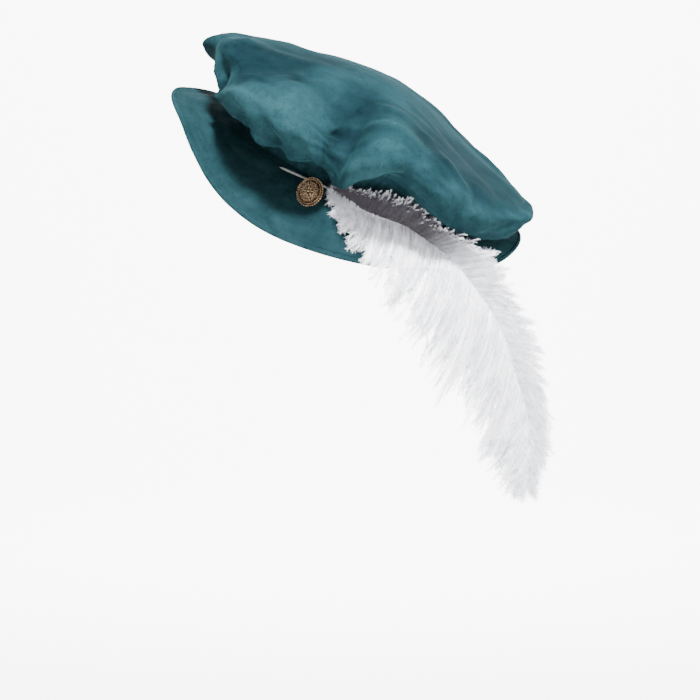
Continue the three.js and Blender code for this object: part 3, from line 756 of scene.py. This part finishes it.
def wire(bm, route, thick, sides=7, closed=False, twist=0.0):
    """A wire bent along a route: spun rings, each then moved to its place on the route."""
    tube = spun_rings(len(route), sides, closed)
    ring, turn = rings_and_turns(tube)
    spots = np.array(route)
    if closed:
        way = np.roll(spots, -1, axis=0) - np.roll(spots, 1, axis=0)
    else:
        way = np.gradient(spots, axis=0)
    way = unit(way)
    side = unit(np.cross(way, (0.0, 0.0, 1.0)))
    up = unit(np.cross(side, way))
    share = ring / (len(route) - 1)
    size = thick(share) if callable(thick) else thick
    t = np.radians(turn)
    x, y = size * np.cos(t), size * np.sin(t) * (0.62 if twist else 1)
    roll = twist * ring
    x, y = x * np.cos(roll) - y * np.sin(roll), x * np.sin(roll) + y * np.cos(roll)
    move_all(tube, spots[ring] + side[ring] * x[:, None] + up[ring] * y[:, None])
    if not closed:
        bmesh.ops.holes_fill(tube, edges=tube.edges, sides=sides)
    bmesh.ops.recalc_face_normals(tube, faces=tube.faces)
    mesh = bpy.data.meshes.new("wire")
    tube.to_mesh(mesh)
    tube.free()
    bm.from_mesh(mesh)
    bpy.data.meshes.remove(mesh)


def on_ring(radius, turn, height):
    return Vector((radius * math.cos(turn), radius * math.sin(turn), height))


def ring_route(radius, height, steps):
    return [on_ring(radius, 2 * math.pi * k / steps, height) for k in range(steps)]


def scroll_route(middle_radius, middle_turn, size, hand, steps=22):
    """A flat spiral on the dome that opens out into a tail."""
    middle = on_ring(middle_radius, middle_turn, 0)
    route = []
    for k in range(steps):
        t = k / (steps - 1)
        r = size * (0.22 + 0.78 * t)
        a = middle_turn + hand * (t * 4.6 + 0.4)
        x, y = middle.x + r * math.cos(a), middle.y + r * math.sin(a)
        route.append(Vector((x, y, dome(math.hypot(x, y)) + 0.25)))
    return route


def shank_length():
    """How far the shank goes back before it meets the brim."""
    for back in np.arange(1, SHANK_LONGEST, 0.25):
        here = np.array([tuple(BUTTON_LEVEL @ Vector((0, 0, -back)))])
        if here[0, 2] < brim_top(here)[0] + 0.3:
            return back - 0.2
    return SHANK_LONGEST


def make_button():
    plate = bmesh.new()
    reach = shank_length()
    outline = [(0, -reach), (2.5, -reach), (2.5, -0.3), (3.4, 0), (12.3, 0), (13.2, 0.35),
               (13.35, 0.9), (12.9, DOME_EDGE)]
    outline += [(r, dome(r) - 0.35) for r in (12.0, 10.5, 9, 7.5, 6, 4.5, 3, 1.5)]
    outline.append((0, dome(0) - 0.35))
    turned(plate, outline, 64)
    bmesh.ops.remove_doubles(plate, verts=plate.verts, dist=1e-4)
    bmesh.ops.transform(plate, matrix=IN_METRES @ BUTTON_SET @ BUTTON_TRIM,
                        verts=plate.verts)
    finish_piece("button_plate", plate, GOLD_DARK, "button")

    lace = bmesh.new()
    for k in range(RIM_BEADS):
        t = 2 * math.pi * k / RIM_BEADS
        bead(lace, on_ring(DOME_RADIUS, t, DOME_EDGE), 0.8)
    wire(lace, ring_route(11.3, dome(11.3) + 0.1, 132), 0.42, closed=True, twist=0.62)
    wire(lace, ring_route(6.0, dome(6.0) + 0.2, 84), 0.52, closed=True, twist=0.62)
    for k in range(SCROLLS):
        t = 2 * math.pi * k / SCROLLS
        wire(lace, scroll_route(8.6, t, 1.95, 1), lambda s: 0.4 - 0.12 * s)
        wire(lace, scroll_route(8.9, t + 0.35, 1.35, -1, 18), lambda s: 0.34 - 0.1 * s)
        for radius, size, lag in ((10.1, 0.5, 0.18), (7.2, 0.45, 0.34), (8.6, 0.52, 0.0)):
            bead(lace, on_ring(radius, t + lag, dome(radius) + 0.3), size, fine=(8, 6))
    for k in range(PETALS):
        t = 2 * math.pi * (k + 0.5) / PETALS
        bead(lace, on_ring(PETAL_RING, t, dome(PETAL_RING) + 0.1), 1.0, (1.55, 0.85, 0.8), t,
             (12, 8))
    for k in range(FINE_BEADS):
        t = 2 * math.pi * k / FINE_BEADS
        bead(lace, on_ring(FINE_BEAD_RING, t, dome(FINE_BEAD_RING) + 0.2), 0.42, fine=(8, 6))
    bead(lace, Vector((0, 0, dome(0) + 0.1)), 1.35, (1, 1, 0.8), 0, (14, 10))
    bmesh.ops.transform(lace, matrix=IN_METRES @ BUTTON_SET @ BUTTON_TRIM, verts=lace.verts)
    finish_piece("button_filigree", lace, GOLD_BRIGHT, "button")


# ---------------------------------------------------------------- plume

SHAFT_ON_HAT = ((84.8, -53, -0.8), (89.2, -29, 0.2), (91.6, -7.2, 0.6), (95.3, 11.7, -1.4),
                (97.7, 29.9, -3.8), (94.6, 47.2, -3.8), (90.4, 65.7, -3.9), (93.3, 90.1, -7.6),
                (100.3, 111.4, -11))
SHAFT_HANGING = ((98, 104, -96), (97, 121, -119.5), (96, 133.7, -145), (93, 142, -170.5),
                 (91, 150, -196), (90, 155, -221.5), (86, 153, -272.5))
VANE_COLUMNS = ("at", "x", "y", "z")
OUTER_VANE = (
    (0.125, 98, -13, -31), (0.172, 112, -6, -53), (0.221, 126, 5, -74), (0.267, 130, 17, -93),
    (0.317, 127, 29, -114), (0.382, 121, 43, -137), (0.442, 114, 56, -161),
    (0.507, 108, 72, -185), (0.582, 103, 91, -206), (0.657, 100, 104, -226),
    (0.727, 97, 114, -245), (0.866, 92, 131, -273), (1, 87, 148, -288),
)
INNER_VANE = (
    (0.125, 91, -8, -12), (0.172, 96, 14, -14), (0.221, 101, 33, -14), (0.267, 107, 52, -18),
    (0.317, 115, 74, -30), (0.382, 119, 103, -53), (0.442, 112, 127, -72),
    (0.507, 102, 141, -95), (0.582, 96, 156, -127), (0.657, 93, 167, -157),
    (0.727, 91, 174, -196), (0.8, 89, 176, -222), (0.866, 87, 173, -250), (1, 85, 160, -286),
)
VANE_STARTS = 0.118
VANE_ENDS = 0.992
LOCKS = 66
BARBS = 620
BARB_ROWS = 15
BARB_WIDE = 1.0
LOOSE_BARBS = 0.2
DRAWN_TOGETHER = 0.78  # of the way to the middle of the tuft
TUFT_SWAY = 0.055  # of a barb's length
CURL_STARTS = 0.62  # of the way along a barb
BARBULE_APART = 1.15
BARBULE_LONG = 7.0
BARBULE_WIDE = 0.28
BARBULE_SLANT = (18, 55)
DOWN_LIFT = 0.7
CROWN_GAP = 1.2
SEARCH_PAST_GAP = 9
RIM_OVERHANG = 7
QUILL_RADIUS = 1.0
QUILL_TIP_RADIUS = 0.4
QUILL_ROWS = 150
QUILL_SIDES = 14


def smooth_route(points, each=30):
    """A smooth curve through every point, as many rows of x, y and z."""
    p = np.array(points, float)
    p = np.vstack([2 * p[0] - p[1], p, 2 * p[-1] - p[-2]])
    rows = []
    for a, b, c, d in zip(p, p[1:], p[2:], p[3:]):
        before, here, after = (np.sum((v - u) ** 2) ** 0.25 for u, v in ((a, b), (b, c), (c, d)))
        leave = ((b - a) / before - (c - a) / (before + here) + (c - b) / here) * here
        arrive = ((c - b) / here - (d - b) / (here + after) + (d - c) / after) * here
        t = (np.arange(each) / each)[:, None]
        rows.append(b * (1 + t * t * (2 * t - 3)) + leave * t * (t - 1) ** 2
                    + c * t * t * (3 - 2 * t) + arrive * t * t * (t - 1))
    return np.vstack(rows + [p[-2:-1]])


SHAFT_ROUTE = smooth_route([*worn(np.array(SHAFT_ON_HAT, float)), *SHAFT_HANGING])
SHAFT_WAY = np.concatenate([[0], np.cumsum(np.linalg.norm(np.diff(SHAFT_ROUTE, axis=0), axis=1))])
SHAFT_LONG = SHAFT_WAY[-1]


def shaft_at(share):
    way = np.asarray(share) * SHAFT_LONG
    return np.stack([np.interp(way, SHAFT_WAY, SHAFT_ROUTE[:, k]) for k in range(3)], axis=-1)


def shaft_heading(share):
    share = np.asarray(share)
    return unit(shaft_at(np.minimum(share + 0.006, 1)) - shaft_at(np.maximum(share - 0.006, 0)))


def brim_top(places):
    """The brim's top under places in the hat's frame. Past the rim it goes on, falling."""
    angle = np.degrees(np.arctan2(places[..., 0], -places[..., 1])) % 360
    inner = oval(angle, HEAD_HALF_WIDTH, HEAD_HALF_LENGTH)
    outer = oval(angle, BRIM_HALF_WIDTH, BRIM_HALF_LENGTH)
    radius = np.hypot(places[..., 0], places[..., 1])
    share = np.clip((radius - inner) / (outer - inner), 0, 1)
    past = np.maximum(radius - outer - RIM_OVERHANG, 0)
    return RIM_READER(angle) * share ** BRIM_BOW + BRIM_THICK / 2 - 3 * past


def over_brim(places, lift):
    """Upright places, raised where they would lie in the brim."""
    level = taken_off(places)
    level[..., 2] = np.maximum(level[..., 2], brim_top(level) + lift)
    return worn(level)


def clear_of(places, tree, gap):
    """Places pushed out of a closed piece, to a gap in front of it."""
    flat = places.reshape(-1, 3)
    for i, place in enumerate(flat):
        near, normal = tree.find_nearest(Vector(place) * MM, (gap + SEARCH_PAST_GAP) * MM)[:2]
        if near is None:
            continue
        out = (Vector(place) * MM - near).dot(normal) / MM
        if out < gap:
            flat[i] = place + np.array(normal) * (gap - out)
    return flat.reshape(places.shape)


def barb_routes(vane, seed, crown_tree, arch, root_short, curliness, stand):
    """Every barb's route from the shaft to its tip, with neighbours drawn together in tufts."""
    draw = np.random.default_rng(seed)
    tip_of = [reader(vane, VANE_COLUMNS, c) for c in ("x", "y", "z")]
    run = (np.arange(BARBS) + draw.uniform(-0.4, 0.4, BARBS)) / (BARBS - 1)
    run = np.clip(run, 0, 1)
    at = mix(VANE_STARTS, VANE_ENDS, run)
    edges = np.concatenate([[0], np.cumsum(draw.uniform(0.35, 1.65, LOCKS))])
    edges = edges / edges[-1]
    lock = np.clip(np.searchsorted(edges, run, side="right") - 1, 0, LOCKS - 1)
    middle = (edges[lock] + edges[lock + 1]) / 2
    off_middle = np.abs(run - middle) / (edges[lock + 1] - edges[lock]) * 2
    loose = draw.uniform(0, 1, BARBS) < LOOSE_BARBS
    drawn = np.where(loose, -0.4, DRAWN_TOGETHER) * draw.uniform(0.8, 1.1, BARBS)
    tuft_long = draw.uniform(0.86, 1.05, LOCKS)[lock]
    tuft_sway = draw.normal(0, 1, (LOCKS, 3))[lock]
    tip = np.stack([read(mix(VANE_STARTS, VANE_ENDS, np.clip(mix(run, middle, drawn), 0, 1)))
                    for read in tip_of], axis=-1)
    heading = shaft_heading(at)
    start = shaft_at(at)
    way = tip - start
    long = np.where(loose, draw.uniform(0.5, 0.97, BARBS), mix(1.02, 0.7, off_middle ** 1.3))
    long = long * tuft_long * draw.uniform(0.9, 1.03, BARBS)
    long = long * np.interp(at, [0.12, 0.28, 0.44], [root_short, mix(root_short, 1, 0.4), 1])
    way = way * long[:, None]
    length = np.linalg.norm(way, axis=1)
    # past the bare part of the shaft the barbs start in front of it and lie over it
    covers = np.clip((at - 0.25) / 0.1, 0, 1) * np.clip((1 - at) / 0.04, 0, 1)
    aside = unit(way - heading * (way * heading).sum(1)[:, None])
    start = start + LEFT * mix(-0.9, draw.uniform(0.3, 1.6, BARBS), covers)[:, None]
    start = start - aside * (covers * draw.uniform(0, 1.2, BARBS))[:, None]
    share = np.linspace(0, 1, BARB_ROWS)[None, :, None]
    stands = draw.uniform(0.04, 0.2, BARBS) + stand * np.interp(at, [0.12, 0.3, 0.5], [1, 1, 0])
    lean = heading * (0.14 * length)[:, None] + LEFT * (length * stands)[:, None]
    route = start[:, None] + way[:, None] * share + lean[:, None] * 2 * share * (1 - share)
    lifted = length * arch * draw.uniform(0.6, 1.4, BARBS)
    route[..., 2] += lifted[:, None] * (share * (1 - share ** 2))[..., 0] * 2.6
    stray = draw.normal(0, 1, (BARBS, 3)) * (0.022 * length + 0.5)[:, None]
    stray2 = draw.normal(0, 1, (BARBS, 3)) * (0.014 * length)[:, None]
    sway = tuft_sway * (TUFT_SWAY * length)[:, None]
    route = route + (sway + stray)[:, None] * share ** 2 + stray2[:, None] * np.sin(share * 5)
    # the ends curl
    first = unit(np.cross(way, draw.normal(0, 1, (BARBS, 3))))
    second = unit(np.cross(way, first))
    curled = np.clip((share - CURL_STARTS) / (1 - CURL_STARTS), 0, 1)
    bend = curled * draw.uniform(1, 5.5, BARBS)[:, None, None]
    curl = curliness * draw.uniform(0.2, 1, BARBS)[:, None, None]
    route = route + curl * (first[:, None] * np.sin(bend) + second[:, None] * (1 - np.cos(bend)))
    lift = draw.uniform(0.7, 4.2, BARBS)[:, None]
    route = over_brim(route, lift)
    route = clear_of(route, crown_tree, CROWN_GAP)
    return at, share[0, :, 0], route


def vane_out(route, at, side):
    """The way that each place of each barb faces: away from the head."""
    along = unit(np.gradient(route, axis=1))
    out = unit(np.cross(along, np.broadcast_to(shaft_heading(at)[:, None], along.shape)) * side)
    return along, out


def set_vane_map(piece, along_shaft, along_barb):
    """Keeps each vertex's share along the shaft and along its barb as the piece's own map."""
    mesh = piece.data
    layer = mesh.uv_layers.new(name="vane")
    corner = np.empty(len(mesh.loops), np.int32)
    mesh.loops.foreach_get("vertex_index", corner)
    values = np.stack([along_shaft[corner], along_barb[corner]], axis=-1)
    layer.data.foreach_set("uv", values.astype(np.float32).ravel())


def finish_down(name, bm, material, places, along_shaft, along_barb):
    """A piece of the plume made of strips, kept over the brim."""
    move_all(bm, over_brim(places, DOWN_LIFT) * MM)
    piece = finish_piece(name, bm, material, "plume", turn_out=False)
    set_vane_map(piece, along_shaft, along_barb)


def make_barbs(name, routes, side, seed, material):
    """Every barb as one narrow strip, each turned a little its own way."""
    at, share, route = routes
    draw = np.random.default_rng(seed)
    along, out = vane_out(route, at, side)
    turn = draw.uniform(-0.5, 0.5, BARBS)[:, None, None]
    across = unit(np.cross(out, along))
    across = across * np.cos(turn) + out * np.sin(turn)
    bm, strip, edge, row = strips(BARBS, BARB_ROWS - 1)
    half = BARB_WIDE / 2 * (1 - share[row]) ** 0.6 + 0.08
    places = route[strip, row] + across[strip, row] * (half * (2 * edge - 1))[:, None]
    finish_down(name, bm, material, places, at[strip], share[row])


def make_barbules(name, routes, side, seed, material, near_root=0.0):
    """Fine down along both sides of every barb, shorter on the ends near the shaft's root."""
    at, _, route = routes
    draw = np.random.default_rng(seed)
    along, out = vane_out(route, at, side)
    length = np.linalg.norm(np.diff(route, axis=1), axis=2).sum(1)
    counts = np.maximum((length / BARBULE_APART).astype(int), 4)
    barb = np.repeat(np.arange(BARBS), counts * 2)
    place = np.concatenate([np.tile((np.arange(n) + 0.5) / n, 2) for n in counts])
    hand = np.concatenate([np.repeat([-1.0, 1.0], n) for n in counts])
    count = len(barb)
    place = np.clip(place + draw.uniform(-0.01, 0.01, count), 0, 1)
    spot = place * (BARB_ROWS - 1)
    k = np.minimum(spot.astype(int), BARB_ROWS - 2)
    f = (spot - k)[:, None]
    root = route[barb, k] * (1 - f) + route[barb, k + 1] * f
    way, face = along[barb, k], out[barb, k]
    across = unit(np.cross(face, way))
    slant = np.radians(draw.uniform(*BARBULE_SLANT, count))[:, None]
    lift = draw.normal(0.05, 0.3, count)[:, None]
    aim = unit(way * np.cos(slant) + across * np.sin(slant) * hand[:, None] + face * lift)
    long = BARBULE_LONG * draw.uniform(0.55, 1.2, count) * np.interp(
        place, [0, 0.15, 0.75, 1], [0.5, 1, 0.85, 0.3])
    long = long * np.where((place > 0.6) & (at[barb] < near_root), 0.45, 1)
    bm, strip, edge, row = strips(count, 1)
    wide = unit(np.cross(aim, face))
    half = np.where(row == 0, BARBULE_WIDE / 2, BARBULE_WIDE / 7)
    places = root[strip] + aim[strip] * (long[strip] * row)[:, None]
    places = places + wide[strip] * (half * (1 - 2 * edge))[:, None]
    finish_down(name, bm, material, places, at[barb][strip], place[strip])


def make_quill():
    """The bare quill and the shaft: a tapering rod with a groove along its outer side."""
    bm = spun_rings(QUILL_ROWS, QUILL_SIDES)
    ring, turn = rings_and_turns(bm)
    share = ring / (QUILL_ROWS - 1)
    centre = shaft_at(share)
    heading = shaft_heading(share)
    side = unit(np.cross(np.broadcast_to(LEFT, heading.shape), heading))
    face = np.cross(side, heading)
    t = np.radians(turn)
    radius = mix(QUILL_RADIUS, QUILL_TIP_RADIUS, share ** 0.8)
    radius = radius * np.clip(share / 0.012, 0, 1) ** 0.5
    groove = 0.4 * np.exp(-((np.cos(t) + 1) / 0.12) ** 2) * np.clip((share - 0.1) / 0.03, 0, 1)
    radius = radius * (1 - groove)
    places = centre + side * (radius * np.sin(t))[:, None] + face * (radius * np.cos(t))[:, None]
    move_all(bm, places * MM)
    root = [v for v, first in zip(bm.verts, ring == 0) if first]
    bmesh.ops.remove_doubles(bm, verts=root, dist=1e-5)
    bmesh.ops.holes_fill(bm, edges=bm.edges, sides=QUILL_SIDES)
    piece = finish_piece("plume_quill", bm, QUILL_HORN, "plume")
    co = np.empty(len(piece.data.vertices) * 3, np.float32)
    piece.data.vertices.foreach_get("co", co)
    co = co.reshape(-1, 3) / MM
    nearest = np.argmin(((co[:, None] - SHAFT_ROUTE[None]) ** 2).sum(2), axis=1)
    set_vane_map(piece, SHAFT_WAY[nearest] / SHAFT_LONG, (co[:, 0] * 0.13) % 1)


def make_plume(crown):
    graph = bpy.context.evaluated_depsgraph_get()
    tree = BVHTree.FromObject(crown, graph)
    make_quill()
    outer = barb_routes(OUTER_VANE, 11, tree, 0.02, 0.97, 2.2, 0.34)
    inner = barb_routes(INNER_VANE, 12, tree, 0.08, 0.78, 1.2, 0.06)
    make_barbs("plume_outer_barbs", outer, 1, 13, DOWN_OUTER)
    make_barbs("plume_inner_barbs", inner, -1, 14, DOWN_INNER)
    make_barbules("plume_outer_down", outer, 1, 15, DOWN_OUTER)
    make_barbules("plume_inner_down", inner, -1, 16, DOWN_INNER, near_root=0.44)


# ---------------------------------------------------------------- floor and light

FLOOR_HEIGHT = -0.85
STUDIO_RADIUS = 6.0
COVE_RADIUS = 2.0
WALL_TOP = 3.4


def make_floor():
    """A pale round floor that curves up into a low wall all round."""
    bm = bmesh.new()
    turn = [math.radians(k) for k in range(0, 91, 6)]
    outline = [(0, 0), (2, 0)]
    outline += [(STUDIO_RADIUS - COVE_RADIUS + COVE_RADIUS * math.sin(t),
                 COVE_RADIUS * (1 - math.cos(t))) for t in turn]
    outline.append((STUDIO_RADIUS, WALL_TOP))
    turned(bm, outline, 96)
    bmesh.ops.remove_doubles(bm, verts=bm.verts, dist=1e-5)
    bmesh.ops.translate(bm, vec=(0, 0, FLOOR_HEIGHT), verts=bm.verts)
    mesh = bpy.data.meshes.new("floor")
    bm.to_mesh(mesh)
    bm.free()
    mesh.shade_smooth()
    mesh.materials.append(plain_paper())
    floor = bpy.data.objects.new("floor", mesh)
    bpy.context.scene.collection.objects.link(floor)


LIGHTS_STAND_ROUND = Vector((0, 0, -0.05))
LIGHTS = (
    # name, toward, how far away, size, watts, aimed at
    ("key", (0.54, 0.12, 0.83), 2.2, 0.34, 350, LIGHTS_STAND_ROUND),
    ("fill", (0.42, 0.9, 0.1), 2.6, 1.0, 62, LIGHTS_STAND_ROUND),
    ("low_fill", (1.0, 0.3, -0.12), 2.4, 0.9, 22, LIGHTS_STAND_ROUND),
    ("backdrop", (-0.8, 0, 0.9), 3.4, 2.0, 1300, (-6, 0, 0.2)),
)
SKY_STRENGTH = 1.1


def soft_light(name, toward, away, size, power, aim):
    data = bpy.data.lights.new(name, "AREA")
    data.shape = "DISK"
    data.size = size
    data.energy = power
    light = bpy.data.objects.new(name, data)
    light.location = LIGHTS_STAND_ROUND + Vector(toward).normalized() * away
    light.rotation_euler = (Vector(aim) - light.location).to_track_quat("-Z", "Y").to_euler()
    bpy.context.scene.collection.objects.link(light)


def light_studio():
    world = bpy.data.worlds.new("studio")
    world.use_nodes = True
    sky = world.node_tree.nodes["Background"].inputs
    sky["Color"].default_value = (1, 1, 1, 1)
    sky["Strength"].default_value = SKY_STRENGTH
    bpy.context.scene.world = world
    for light in LIGHTS:
        soft_light(*light)


place_camera()
VELVET_CROWN = velvet("velvet_crown", (0.0052, 0.0186, 0.0227), (0.0089, 0.0272, 0.033))
# the brim's velvet: the crown's velvet made about a fifth darker, as painted shade
VELVET_BRIM = velvet("velvet_brim", (0.0042, 0.0146, 0.0178), (0.007, 0.0208, 0.025))
VELVET_GROUND = velvet_ground()
GOLD_DARK = old_gold("tarnished_gold", (0.012, 0.007, 0.004), (0.05, 0.028, 0.014), 0.6)
GOLD_BRIGHT = old_gold("worn_gold", (0.11, 0.072, 0.042), (0.46, 0.34, 0.215), 0.32)
QUILL_HORN = quill_horn()
DOWN_OUTER = plume_down("white_down", (0.8, 0.81, 0.85), (0.86, 0.87, 0.9), (0.1, 0.2))
# the inner vane's down: painted shade near the shaft's root, where the crown shades it, and beyond
# it a greyer white than the outer vane, also painted shade
DOWN_INNER = plume_down("down_in_painted_shade", (0.05, 0.045, 0.055), (0.78, 0.79, 0.82), (0.36, 0.46))
crown = make_crown()
make_brim()
make_button()
make_plume(crown)
make_floor()
light_studio()
